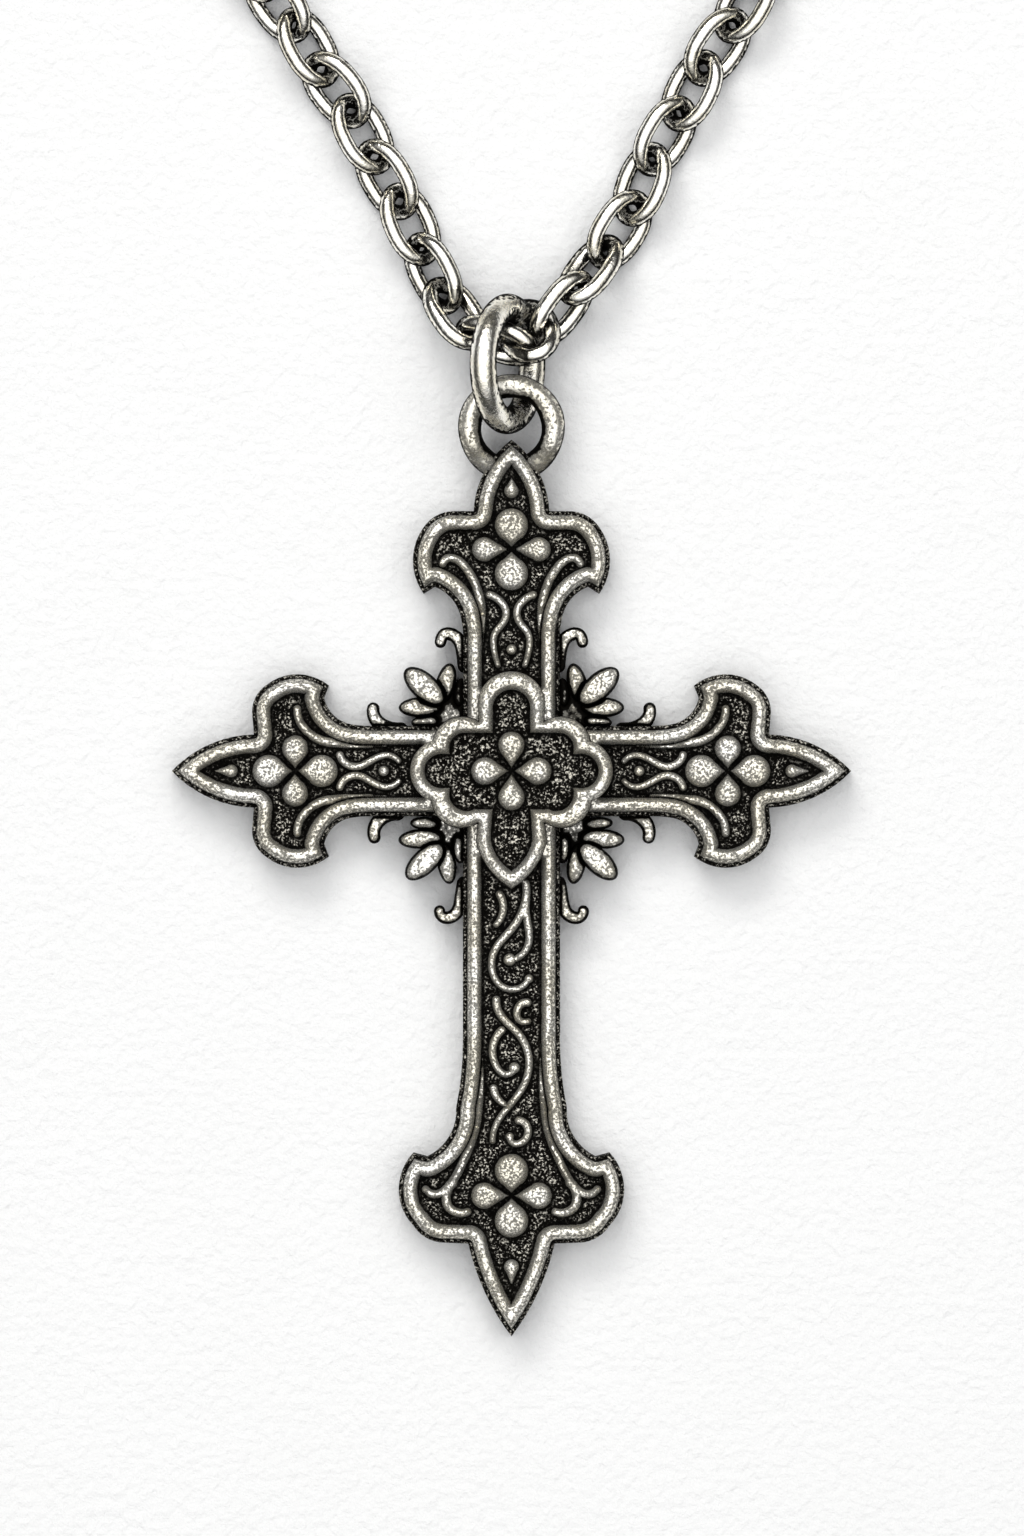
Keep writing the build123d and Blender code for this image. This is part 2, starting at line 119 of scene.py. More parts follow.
# ---------------------------------------------------------------- materials
class Shader:
    """Short calls for making a node tree."""

    def __init__(self, name):
        self.material = bpy.data.materials.new(name)
        self.material.use_nodes = True
        self.tree = self.material.node_tree
        self.surface = self.tree.nodes["Principled BSDF"]
        self.place = self.add("ShaderNodeTexCoord").outputs["Object"]

    def add(self, kind, **settings):
        node = self.tree.nodes.new(kind)
        for key, value in settings.items():
            setattr(node, key, value)
        return node

    def feed(self, socket, value):
        if isinstance(value, bpy.types.NodeSocket):
            self.tree.links.new(value, socket)
        else:
            socket.default_value = value

    def noise(self, size, detail=2.0, roughness=0.5):
        """Noise whose lumps are about as large as size, in millimetres."""
        node = self.add("ShaderNodeTexNoise")
        self.feed(node.inputs["Vector"], self.place)
        node.inputs["Scale"].default_value = 1 / (size * MM)
        node.inputs["Detail"].default_value = detail
        node.inputs["Roughness"].default_value = roughness
        return node.outputs["Fac"]

    def math(self, operation, *values):
        node = self.add("ShaderNodeMath", operation=operation)
        for socket, value in zip(node.inputs, values):
            self.feed(socket, value)
        return node.outputs[0]

    def ramp(self, value, low, high, out_low=0.0, out_high=1.0):
        """A smooth step of a value between two levels."""
        node = self.add("ShaderNodeMapRange", interpolation_type="SMOOTHSTEP")
        for socket, number in zip(node.inputs, (value, low, high, out_low, out_high)):
            self.feed(socket, number)
        return node.outputs[0]

    def mix(self, amount, first, second):
        node = self.add("ShaderNodeMix", data_type="RGBA")
        self.feed(node.inputs["Factor"], amount)
        for socket, colour in zip((node.inputs[6], node.inputs[7]), (first, second)):
            self.feed(socket, colour if isinstance(colour, bpy.types.NodeSocket) else (*colour, 1))
        return node.outputs[2]

    def attribute(self, name):
        return self.add("ShaderNodeAttribute", attribute_name=name).outputs["Fac"]

    def bump(self, height, distance):
        """Normals for a height from 0 to 1, where 1 is the distance in millimetres."""
        node = self.add("ShaderNodeBump")
        node.inputs["Strength"].default_value = 1.0
        node.inputs["Distance"].default_value = distance * MM
        self.feed(node.inputs["Height"], height)
        return node.outputs[0]


SILVER = (0.98, 0.955, 0.88)
WARM_SILVER = (0.85, 0.805, 0.68)
# Dull black: the patina in the hollows, and also painted shade on the lower sides of wires and rings and
# in the creases of the ground.
PATINA_AND_SHADE = (0.0019, 0.0015, 0.0009)
PATINA_AND_SHADE_ROUGHNESS, PATINA_AND_SHADE_SHEEN = 0.65, 0.04


def silver_patina_and_shade(s, clean_and_lit, metal, roughness):
    """Silver where the mask is 1, and dull black where it is 0: patina in the hollows of the relief, and
    painted shade where the crest attribute holds shade.
    """
    s.feed(s.surface.inputs["Base Color"], s.mix(clean_and_lit, PATINA_AND_SHADE, metal))
    s.feed(s.surface.inputs["Metallic"], clean_and_lit)
    s.feed(s.surface.inputs["Roughness"], s.ramp(clean_and_lit, 0.0, 1.0, PATINA_AND_SHADE_ROUGHNESS, roughness))
    s.surface.inputs["Specular IOR Level"].default_value = PATINA_AND_SHADE_SHEEN


def antique(name, wear, grain, pits, roughness, grain_bump=0.05):
    """Silver with black patina. The crest attribute says how high on the relief a point is: patina
    comes off where it passes wear. On the bail the crest attribute holds painted shade instead, so its
    lower and inner sides are painted dark. Dark pits are dense low on the relief and sparse on its crest.
    Grain is the size of the pits in millimetres, and more of pits makes more of them."""
    s = Shader(name)
    crest = s.attribute("crest")
    coarse = s.noise(grain * 2.2, 2, 0.6)
    fine = s.noise(grain, 2, 0.6)
    broad = s.noise(2.6, 2)
    uneven = s.math("SUBTRACT", s.math("ADD", coarse, s.math("MULTIPLY", broad, 0.5)), 0.75)
    level = s.math("ADD", crest, s.math("MULTIPLY", uneven, 0.6))
    # Where the crest attribute holds painted shade, as on the bail, this mask carries that painted shade
    # too.
    wear_and_shade = s.ramp(level, wear - 0.12, wear + 0.12)
    speck = s.ramp(s.math("ADD", fine, s.math("MULTIPLY", level, 0.24)), pits - 0.05, pits + 0.07)
    clean_and_lit = s.math("MULTIPLY", wear_and_shade, s.math("ADD", s.math("MULTIPLY", speck, 0.74), 0.26))
    metal = s.mix(s.ramp(broad, 0.35, 0.7), WARM_SILVER, SILVER)
    silver_patina_and_shade(s, clean_and_lit, metal, roughness)
    tooth = s.math("ADD", coarse, s.math("MULTIPLY", fine, 0.6))
    s.feed(s.surface.inputs["Normal"], s.bump(tooth, grain_bump))
    return s.material


def stippled(name):
    """A dark ground with a dense fine stipple. It is black where the crest attribute is low, which is
    painted shade along the feet of the relief.
    """
    s = Shader(name)
    # Painted shade: the crest drops to black in the creases along the feet of the relief.
    open_ground = s.ramp(s.attribute("crest"), 0.05, 0.4, 0.05, 1.0)
    level = s.math("ADD", s.noise(0.14, 2, 0.65), s.math("MULTIPLY", s.noise(0.6, 2), 0.3))
    speck = s.math("MULTIPLY", s.ramp(level, 0.67, 0.84), open_ground)
    silver_patina_and_shade(s, speck, (0.64, 0.61, 0.53), 0.4)
    s.feed(s.surface.inputs["Normal"], s.bump(level, 0.08))
    return s.material


def wire(name, roughness, dark, unevenness, has_crest=True):
    """Drawn silver wire: bright and faintly uneven. It is dark and speckled where the crest attribute
    is under the dark level; on rings and links that attribute holds painted shade, so their lower sides
    are painted dark. A mesh without that attribute is speckled alike all over."""
    s = Shader(name)
    crest = s.attribute("crest") if has_crest else 0.5
    fine = s.noise(0.24, 3, 0.6)
    broad = s.noise(1.3, 2)
    level = s.math("ADD", crest, s.math("MULTIPLY", s.math("SUBTRACT", fine, 0.5), 1.2))
    clean_and_lit = s.ramp(level, dark - 0.1, dark + 0.1)
    metal = s.mix(s.ramp(broad, 0.35, 0.65), WARM_SILVER, SILVER)
    silver_patina_and_shade(s, clean_and_lit, metal, roughness)
    s.feed(s.surface.inputs["Normal"], s.bump(s.math("ADD", fine, broad), unevenness))
    return s.material


def paper():
    """White paper with a soft tooth."""
    s = Shader("paper")
    tooth = s.math("ADD", s.noise(0.55, 3, 0.6), s.math("MULTIPLY", s.noise(2.2, 2), 0.6))
    s.feed(s.surface.inputs["Base Color"], s.mix(s.noise(9.0, 2), (0.93, 0.93, 0.92), (0.95, 0.95, 0.945)))
    s.feed(s.surface.inputs["Roughness"], s.ramp(tooth, 0.4, 1.2, 0.85, 0.95))
    s.surface.inputs["Specular IOR Level"].default_value = 0.2
    s.feed(s.surface.inputs["Normal"], s.bump(tooth, 0.16))
    return s.material


# ---------------------------------------------------------------- outlines from the frame
def outlines(node):
    """For each solid of a node: the closed outlines of its flat underside in millimetres, its lowest
    height, and the height of its top."""
    mesh = nodes[node].data
    mesh.calc_loop_triangles()
    co = np.array([v.co for v in mesh.vertices]) / MM
    low = co[:, 2].min()
    flat = [t for t in mesh.loop_triangles if max(abs(co[i][2] - low) for i in t.vertices) < 1e-3]
    group = list(range(len(co)))

    def root(i):
        while group[i] != i:
            group[i] = group[group[i]]
            i = group[i]
        return i

    for triangle in flat:
        for i in triangle.vertices[1:]:
            group[root(i)] = root(triangle.vertices[0])
    edges = {}
    for triangle in flat:
        keys = [(round(co[i][0], 3), round(co[i][1], 3)) for i in triangle.vertices]
        part = edges.setdefault(root(triangle.vertices[0]), set())
        part.update(zip(keys, keys[1:] + keys[:1]))
    highest = {}
    for x, y, z in co:
        highest.setdefault((round(x, 3), round(y, 3)), []).append(z)
    solids = []
    for part in edges.values():
        follow = {a: b for a, b in part if (b, a) not in part and a != b}
        tops = [max(highest[point]) for point in follow]
        loops = []
        while follow:
            at = next(iter(sorted(follow)))
            loop = []
            while at in follow:
                loop.append(at)
                at = follow.pop(at)
            if len(loop) > 3:
                loops.append(np.array(loop[::-1]))
        if loops:
            solids.append((loops, low, float(np.median(tops))))
    return solids


def all_loops(node):
    """The outlines of all solids of a node."""
    return [loop for loops, low, high in outlines(node) for loop in loops]


def resampled(loop, step):
    """The outline with its long sides divided; it keeps its corners."""
    out = []
    for a, b in zip(loop, np.roll(loop, -1, 0)):
        parts = max(1, math.ceil(np.linalg.norm(b - a) / step))
        out.extend(a + (b - a) * i / parts for i in range(parts))
    return np.array(out)


def sides(loops):
    """All sides of the outlines, as starts and ends."""
    return np.vstack(loops), np.vstack([np.roll(loop, -1, 0) for loop in loops])


def side_distance(points, starts, ends):
    """How far each point is from the nearest side; the sides are short."""
    tree = kdtree.KDTree(len(starts))
    for i, middle in enumerate((starts + ends) / 2):
        tree.insert((*middle, 0), i)
    tree.balance()
    count = min(4, len(starts))
    near = np.array([[hit[1] for hit in tree.find_n((x, y, 0), count)] for x, y in points])
    run = (ends - starts)[near]
    away = points[:, None] - starts[near]
    t = np.clip((away * run).sum(2) / np.maximum((run**2).sum(2), 1e-12), 0, 1)
    return np.sqrt(((away - t[..., None] * run) ** 2).sum(2).min(1))


def inside(points, starts, ends, chunk=400):
    """Whether each point is within the outlines, holes left out."""
    out = np.zeros(len(points), bool)
    order = np.argsort(points[:, 1])
    for i in range(0, len(points), chunk):
        batch = order[i:i + chunk]
        x, y = points[batch, :1], points[batch, 1:]
        reach = np.minimum(starts[:, 1], ends[:, 1]) <= y.max()
        reach &= np.maximum(starts[:, 1], ends[:, 1]) >= y.min()
        a, b = starts[reach], ends[reach]
        rise = np.where(a[:, 1] == b[:, 1], 1e-9, b[:, 1] - a[:, 1])
        spans = (a[:, 1] > y) != (b[:, 1] > y)
        cross = a[:, 0] + (y - a[:, 1]) * (b[:, 0] - a[:, 0]) / rise
        out[batch] = (spans & (x < cross)).sum(1) % 2 == 1
    return out


def filled(loops, step, rings=()):
    """Triangles over the outlines, out of a grid of points a step apart and rows of points at the rings'
    distances inside the outlines. Gives the points, the triangles, and the sides as pairs of points."""
    starts, ends = sides(loops)
    edges, first = [], 0
    for loop in loops:
        count = len(loop)
        edges += [(first + i, first + (i + 1) % count) for i in range(count)]
        first += count
    extra = []
    if step:
        run = ends - starts
        inward = np.stack([-run[:, 1], run[:, 0]], 1) / np.linalg.norm(run, axis=1)[:, None]
        for away in rings:
            ring = (starts + ends) / 2 + inward * away
            ring = ring[inside(ring, starts, ends)]
            extra.append(ring[side_distance(ring, starts, ends) > away * 0.9])
        low, high = starts.min(0), starts.max(0)
        rows = np.arange(low[1], high[1], step * 0.866)
        columns = np.arange(low[0], high[0], step)
        grid = np.array([(x + step / 2 * (j % 2), y) for j, y in enumerate(rows) for x in columns])
        grid = grid[inside(grid, starts, ends)]
        clear = (max(rings) if rings else 0) + step * 0.45
        extra.append(grid[side_distance(grid, starts, ends) > clear])
    points = np.vstack([starts] + extra)
    done = geometry.delaunay_2d_cdt([Vector(p) for p in points], edges, [], 0, 1e-6)
    out = np.array([tuple(p) for p in done[0]])
    triangles = np.array([f for f in done[2] if len(f) == 3])
    place = {source: i for i, sources in enumerate(done[3]) for source in sources}
    rim = [(place[a], place[b]) for a, b in edges]
    on_rim = np.zeros(len(out), bool)
    on_rim[[i for pair in rim for i in pair]] = True
    doubtful = on_rim[triangles].all(1)
    keep = ~doubtful
    keep[doubtful] = inside(out[triangles[doubtful]].mean(1), starts, ends)
    return out, triangles[keep], rim


def rounded(distance, radius, power=2):
    """Height of a ridge, from 0 at its foot to 1 on its crest: half-round, or flatter with more power."""
    q = 1 - np.clip(distance / radius, 0, 1)
    return np.sqrt(1 - q**power)


def smoothed(values, triangles, fixed):
    """Values evened out once with their neighbours, apart from the fixed ones."""
    pairs = np.vstack([triangles[:, [0, 1]], triangles[:, [1, 2]], triangles[:, [2, 0]]])
    pairs = np.vstack([pairs, pairs[:, ::-1]])
    count = np.maximum(np.bincount(pairs[:, 0], minlength=len(values)), 1)
    mean = np.bincount(pairs[:, 0], values[pairs[:, 1]], len(values)) / count
    mean[fixed] = values[fixed]
    return 0.4 * values + 0.6 * mean


def solid_from(loops, foot, top_of, step, rings, joined=None):
    """A closed solid over outlines, as points, faces and crests: its top is
    top_of(points, distances, triangles, rim), its underside flat. Sides shared with the joined
    outlines are cuts, and the relief runs on into them at its full height."""
    loops = [resampled(loop, step) for loop in loops]
    points, triangles, rim = filled(loops, step, rings)
    starts, ends = sides(loops)
    if joined is not None:
        free = side_distance((starts + ends) / 2, *joined) > 0.03
        starts, ends = starts[free], ends[free]
    distance = side_distance(points, starts, ends)
    on_rim = sorted({i for pair in rim for i in pair})
    height, crest = top_of(points, distance, triangles, on_rim)
    under, under_triangles, under_rim = filled(loops, 0)
    verts = [Vector((x, y, z)) for (x, y), z in zip(points, height)]
    verts += [Vector((x, y, foot)) for x, y in under]
    shift = len(points)
    faces = [tuple(t) if _up(points, t) else tuple(t[::-1]) for t in triangles]
    faces += [tuple(t + shift)[::-1] if _up(under, t) else tuple(t + shift) for t in under_triangles]
    for (a, b), (c, d) in zip(rim, under_rim):
        faces += [(a, c + shift, d + shift, b)]
    return verts, faces, list(crest) + [0.0] * len(under)


def _up(points, triangle):
    """Whether a triangle's corners run anticlockwise."""
    a, b, c = (points[i] for i in triangle)
    return (b[0] - a[0]) * (c[1] - a[1]) - (b[1] - a[1]) * (c[0] - a[0]) > 0


def mesh_of(name, parts):
    """One smooth mesh from parts, each of them points in millimetres, faces and crests."""
    verts, faces, crest = [], [], []
    for more, more_faces, bright in parts:
        shift = len(verts)
        verts += more
        faces += [tuple(int(i) + shift for i in face) for face in more_faces]
        crest += bright
    mesh = bpy.data.meshes.new(name)
    mesh.from_pydata([v * MM for v in verts], [], faces)
    mesh.attributes.new("crest", "FLOAT", "POINT").data.foreach_set("value", np.array(crest, np.float32))
    made = bmesh.new()
    made.from_mesh(mesh)
    bmesh.ops.recalc_face_normals(made, faces=made.faces)
    made.to_mesh(mesh)
    made.free()
    mesh.polygons.foreach_set("use_smooth", [True] * len(mesh.polygons))
    mesh.set_sharp_from_angle(angle=math.radians(50))
    return mesh


def lumps(points, size, seed):
    """Smooth noise over points, about -1 to 1, with lumps of the given size in millimetres."""
    return np.array([noise.noise(Vector((x / size, y / size, seed))) for x, y in points])


# ---------------------------------------------------------------- the cast face
STEP = 0.13
RINGS = (0.03, 0.09)  # how far inside an outline its first rows of points lie
GROUND_RINGS = (0.03, 0.08, 0.13)
GROUND_EDGE, STIPPLE, GROUND_CREST = 0.16, 0.04, 0.42
SINK = 0.08
DOME_EDGE = 0.26  # the width of the rounded edge of a domed petal
DARK_EDGE = 0.24  # the width of the dark edge of a leaf
WEB_CROWN, WEB_CREST = 0.2, 0.6
BODY = "pendant"


def place_piece(name, mesh, node, material, body=BODY):
    """Puts a finished mesh in the scene in the place of its CAD node."""
    mesh.materials.append(material)
    piece = new_object(name, mesh, body)
    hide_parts(node)
    return piece


def ornament(node, radius, slot, material, power=3.2, grain=0.012, step=STEP, dome=0.0, joined=None):
    """Relief soldered on a ground: rounded across, from its outline in the frame. A dome is the share
    of its height in a broad swell over its whole width, the rest rises at its edge. Its sides on the
    joined outlines are cuts, with no rounding."""
    parts = []
    for loops, low, high in outlines(node):

        def top_of(points, distance, triangles, on_rim):
            level = rounded(distance, radius, power)
            if dome:
                level = (1 - dome) * rounded(distance, DOME_EDGE, 3) + dome * rounded(distance, radius)
            level = smoothed(level, triangles, on_rim)
            height = low + (high - low) * level + grain * lumps(points, 0.22, 3.1) * level
            return height, level

        parts.append(solid_from(loops, low - SINK, top_of, step, RINGS, joined))
    return place_piece(f"{node}_relief", mesh_of(f"{node}_relief", parts), node, material)


def lobe(node, radius, crown, material):
    """Thick leaves or curls that stand free of the ground: tops domed by the crown over plain sides,
    dark along their edges. A solid lower than the others is the dark web between them."""
    parts, solids = [], outlines(node)
    tallest = max(high for loops, low, high in solids)
    for loops, low, high in solids:
        web = high < tallest - 0.3

        def top_of(points, distance, triangles, on_rim):
            level = smoothed(rounded(distance, radius, 2.8), triangles, on_rim)
            rise = WEB_CROWN if web else crown
            height = high - rise + rise * level + 0.015 * lumps(points, 0.25, 5.2) * level
            edge = np.clip(distance / DARK_EDGE, 0, 1)
            return height, edge * (WEB_CREST if web else 1.0)

        parts.append(solid_from(loops, low, top_of, STEP, RINGS))
    return place_piece(f"{node}_relief", mesh_of(f"{node}_relief", parts), node, material)


def ground(node, material, feet):
    """A stippled ground with a rounded edge. It is painted blackest along the feet of what stands on it,
    as shade in the creases.
    """
    loops, low, high = outlines(node)[0]
    foot_starts, foot_ends = sides([resampled(loop, 0.3) for foot in feet for loop in all_loops(foot)])

    def top_of(points, distance, triangles, on_rim):
        rounding = GROUND_EDGE * (1 - rounded(distance, GROUND_EDGE))
        stipple = lumps(points, 0.2, 1.7) + 0.6 * lumps(points, 0.45, 8.3)
        inner = np.clip(distance / GROUND_EDGE - 1, 0, 1)
        height = high - rounding + STIPPLE * inner * stipple
        # Painted shade in the creases where the relief stands on the ground.
        near = side_distance(points, foot_starts, foot_ends)
        foot_shade = np.clip((near - 0.05) / 0.25, 0, 1)
        return height, GROUND_CREST * np.where(distance < 0.2, 1, foot_shade)

    mesh = mesh_of(f"{node}_cast", [solid_from(loops, low, top_of, STEP, GROUND_RINGS)])
    return place_piece(f"{node}_cast", mesh, node, material)


# ---------------------------------------------------------------- rings and links
WIRE_SIDES, RING_STEPS = 20, 96
LINK_SIDES, LINK_STEPS = 12, 40
DENTS = 0.01  # how uneven a bent ring is, as a share of its radius


def swept(points, sides_round, radius, closed=True):
    """The vertices of a round wire along points. The radius is one number, or one for each point."""
    count = len(points)
    verts = []
    for i, point in enumerate(points):
        ahead = points[(i + 1) % count] if closed else points[min(i + 1, count - 1)]
        behind = points[i - 1] if closed or i else points[0]
        tangent = (ahead - behind).normalized()
        up = Vector((0, 0, 1)) if abs(tangent.z) < 0.95 else Vector((1, 0, 0))
        side = tangent.cross(up).normalized()
        lift = side.cross(tangent)
        thick = radius[i] if isinstance(radius, list) else radius
        for j in range(sides_round):
            turn = 2 * math.pi * j / sides_round
            verts.append(point + (side * math.cos(turn) + lift * math.sin(turn)) * thick)
    return verts


def wire_faces(count, sides_round, closed):
    """Faces of one swept wire, with flat ends if it is open."""
    faces = []
    for i in range(count if closed else count - 1):
        for j in range(sides_round):
            a = i * sides_round + j
            b = i * sides_round + (j + 1) % sides_round
            c = ((i + 1) % count) * sides_round + (j + 1) % sides_round
            d = ((i + 1) % count) * sides_round + j
            faces.append((a, b, c, d))
    if not closed:
        faces.append(tuple(range(sides_round))[::-1])
        faces.append(tuple((count - 1) * sides_round + j for j in range(sides_round)))
    return faces


def lit(verts, points, sides_round, wire_radius):
    """How far up each side of a wire faces, from -1 underneath to 1 on top."""
    return [(vert.z - points[i // sides_round].z) / wire_radius for i, vert in enumerate(verts)]


def facing_shade(up):
    """Painted shade for a wire's side that faces up by so much: bright on top, painted dark from its
    flanks down.
    """
    return 1.15 * up - 0.12


def open_ring(name, centre, turn, radius, wire_radius, seam, gap):
    """A ring bent from wire, with its cut at the seam angle. It lies in its own XY plane."""
    half = gap / 2 / radius
    points = []
    for i in range(RING_STEPS):
        angle = seam + half + (2 * math.pi - 2 * half) * i / (RING_STEPS - 1)
        wave = 1 + DENTS * noise.noise(Vector((math.cos(angle) * 2, math.sin(angle) * 2, 4.0)))
        points.append(centre + turn @ Vector((math.cos(angle), math.sin(angle), 0)) * radius * wave)
    verts = swept(points, WIRE_SIDES, wire_radius, closed=False)
    # Painted shade: the ring is bright on top and painted dark from its flanks down.
    crest = [facing_shade(up) for up in lit(verts, points, WIRE_SIDES, wire_radius)]
    return mesh_of(name, [(verts, wire_faces(RING_STEPS, WIRE_SIDES, False), crest)])


def oval_points(length, width):
    """The middle line of an oval link, its long side along X: rounder than a racetrack."""
    bend, run = width / 2, (length - width) / 2
    points = []
    for i in range(LINK_STEPS):
        angle = 2 * math.pi * i / LINK_STEPS
        c, s = math.cos(angle), math.sin(angle)
        x = bend * c + run * math.copysign(abs(c) ** 0.6, c)
        y = bend * s * (1 - 0.04 * c * c)
        points.append(Vector((x, y, 0)))
    return points


def link_part(centre, axes, length, width, wire_radius):
    """One link, with painted shade: dark below, and dark at its ends where the ends of its neighbours pass
    through it.
    """
    middle = [centre + axes @ p for p in oval_points(length - 2 * wire_radius, width - 2 * wire_radius)]
    verts = swept(middle, LINK_SIDES, wire_radius)
    crest = []
    for i, up in enumerate(lit(verts, middle, LINK_SIDES, wire_radius)):
        place = middle[i // LINK_SIDES] - centre
        along = abs(place.dot(axes.col[0])) / (length / 2)
        # Painted shade on the lower part of the link.
        low = min(0.0, place.z) / (width / 2)
        inner = place.dot(verts[i] - middle[i // LINK_SIDES]) < 0
        # Painted shade at the link's ends, strongest on their inner side, where the neighbouring links
        # pass through.
        wear_and_shade = max(0.0, along - 0.5) * (1.3 if inner else 0.5)
        crest.append(facing_shade(up) + 0.35 * low - wear_and_shade)
    return verts, wire_faces(LINK_STEPS, LINK_SIDES, True), crest


def chain_mesh(name, places):
    """All links of a stretch of chain as one mesh."""
    return mesh_of(name, [link_part(*place) for place in places])


# ---------------------------------------------------------------- the two strands of chain
CHAIN_D = 2.8
LAY = CHAIN_D / 2  # the height of a strand's middle on the paper
UPPER = LAY + CHAIN_D + 0.05  # and where it lies on the other strand
LINK_LENGTH, PITCH = 5.0, 2.89
LINK_SHAPE = (3.5, 0.88)  # width and wire
TIGHT_SHAPE = (3.2, 0.95)  # the same of the links in and next to the centre link
ROLL = math.radians(37)  # to the left and the right by turns
YAW = math.radians(4)  # how far each link heads off the line, alternately
ROLL_PLAY, YAW_PLAY, SWAY = 3, 2, 0.06  # the random part, in degrees, degrees and millimetres
REST = -0.16  # a link's middle is this far under the middle of the plain tube
UPPER_REST = -0.15  # and this much more on the other strand
LEFT_ROUTE = [
    (-2.6, 25.0, LAY), (-3.4, 26.9, LAY), (-5.5, 30.3, LAY), (-7.9, 35.2, LAY), (-10.9, 39.9, LAY),
    (-13.6, 43.6, LAY), (-17.2, 50.0, LAY), (-19.5, 56.6, LAY), (-19.6, 63.0, LAY),
]
RIGHT_ROUTE = [
    (2.4, 25.0, LAY), (4.1, 27.6, LAY), (6.3, 30.8, LAY), (8.1, 34.6, LAY), (10.1, 38.2, LAY),
    (12.9, 42.9, LAY), (16.6, 48.2, 2.1), (19.3, 54.6, UPPER), (19.6, 63.0, UPPER),
]
LEFT_TAIL = [(12.6, 74.3, LAY), (13.4, 67.0, LAY), (10.8, 61.0, LAY), (6.1, 57.6, LAY)]
RIGHT_TAIL = [(-12.6, 74.3, UPPER), (-13.4, 67.0, UPPER), (-11.2, 61.3, 3.6), (-7.3, 57.6, LAY)]
COIL_Y, COIL_R, COIL_PITCH, COIL_TURNS = 67.0, 19.6, 3.1, 1.33
POINTS_PER_TURN = 16


def coil_points(side, height):
    """The turns of one strand's coil: in from its outer edge, clockwise on the left strand."""
    points = []
    for i in range(1, int(COIL_TURNS * POINTS_PER_TURN) + 1):
        turns = i / POINTS_PER_TURN
        angle = math.pi - 2 * math.pi * turns
        radius = COIL_R - COIL_PITCH * turns
        points.append((-side * radius * math.cos(angle), COIL_Y + radius * math.sin(angle), height))
    return points


def centreline(name, control):
    """Points along the smooth line that a route's control points guide, in millimetres."""
    curve = bpy.data.curves.new(name, "CURVE")
    curve.dimensions = "3D"
    spline = curve.splines.new("NURBS")
    spline.points.add(len(control) - 1)
    for point, place in zip(spline.points, control):
        point.co = (*(Vector(place) * MM), 1)
    spline.order_u = 3
    spline.use_endpoint_u = True
    spline.resolution_u = 12
    holder = bpy.data.objects.new(name, curve)
    line = bpy.data.meshes.new_from_object(holder)
    points = [v.co / MM for v in line.vertices]
    bpy.data.meshes.remove(line)
    bpy.data.objects.remove(holder)
    bpy.data.curves.remove(curve)
    return points


def stations(points, first, pitch):
    """Places and directions at every pitch along a line, from a first distance on."""
    out, target, gone = [], first, 0.0
    for a, b in zip(points, points[1:]):
        run = (b - a).length
        while run and gone + run >= target:
            out.append((a.lerp(b, (target - gone) / run), (b - a).normalized()))
            target += pitch
        gone += run
    return out


def link_axes(direction, roll):
    """A link's axes: X along the chain, Y across it, rolled from the flat."""
    side = Vector((0, 0, 1)).cross(direction).normalized()
    turn = Matrix.Rotation(roll, 3, direction)
    across = turn @ side
    return Matrix((direction, across, direction.cross(across))).transposed()


def laid(place, heading, pitch, roll, width, wire_diameter):
    """A link laid at given numbers: its middle in millimetres, its heading, how steeply it rises, its
    roll.
    """
    heading, pitch = math.radians(heading), math.radians(pitch)
    level = math.cos(pitch)
    direction = Vector((math.cos(heading) * level, math.sin(heading) * level, math.sin(pitch)))
    axes = link_axes(direction, math.radians(roll))
    return Vector(place), axes, LINK_LENGTH, width, wire_diameter / 2


def reached(line, spot):
    """How far along a line its nearest point to a spot is."""
    gone, best = 0.0, (math.inf, 0.0)
    for a, b in zip(line, line[1:]):
        best = min(best, ((a - Vector(spot)).length, gone))
        gone += (b - a).length
    return best[1]


def strand(line, by_hand, next_spot, lead, landing, last):
    """One half of the chain, as links and its length: links listed one by one at the jump ring, then from
    the next spot on links that follow the line over the paper and through the coil. The landing link,
    the first of these, and the last one, in the clasp's ring, are listed one by one too. The lead, 0 or 1,
    says to which side the links are rolled first."""
    first = reached(line, next_spot)
    length = sum((b - a).length for a, b in zip(line, line[1:]))
    count = 2 * round((length - first) / PITCH / 2)
    spots = stations(line, first, (length - first) / count)[:count]
    places = [laid(*one, *TIGHT_SHAPE) for one in by_hand]
    for i, (place, direction) in enumerate(spots):
        turn = 1 if (i + lead) % 2 else -1
        roll = turn * ROLL + math.radians(rng.uniform(-ROLL_PLAY, ROLL_PLAY))
        yaw = -turn * YAW + math.radians(rng.uniform(-YAW_PLAY, YAW_PLAY))
        heading = Matrix.Rotation(yaw, 3, "Z") @ direction
        sway = Vector((rng.uniform(-SWAY, SWAY), rng.uniform(-SWAY, SWAY), REST))
        if place.z > LAY + 1:
            sway.z += UPPER_REST
        width, wire_diameter = LINK_SHAPE
        places.append((place + sway, link_axes(heading, roll), LINK_LENGTH, width, wire_diameter / 2))
    places[len(by_hand)] = laid(*landing, *LINK_SHAPE)
    places.append(laid(*last, *LINK_SHAPE))
    return places, length


# ---------------------------------------------------------------- build: the face of the cross
make_camera()
plain_colours()
make_world(1.0, 0.03)
area_light("overhead", (0, 0.1, 0.9), (0, 0, 0), (1.3, 1.3), 3.8)
area_light("window", (-0.2, 0.7, 0.75), (0, 0, 0), (0.6, 0.3), 3.4, (1.0, 0.99, 0.97))

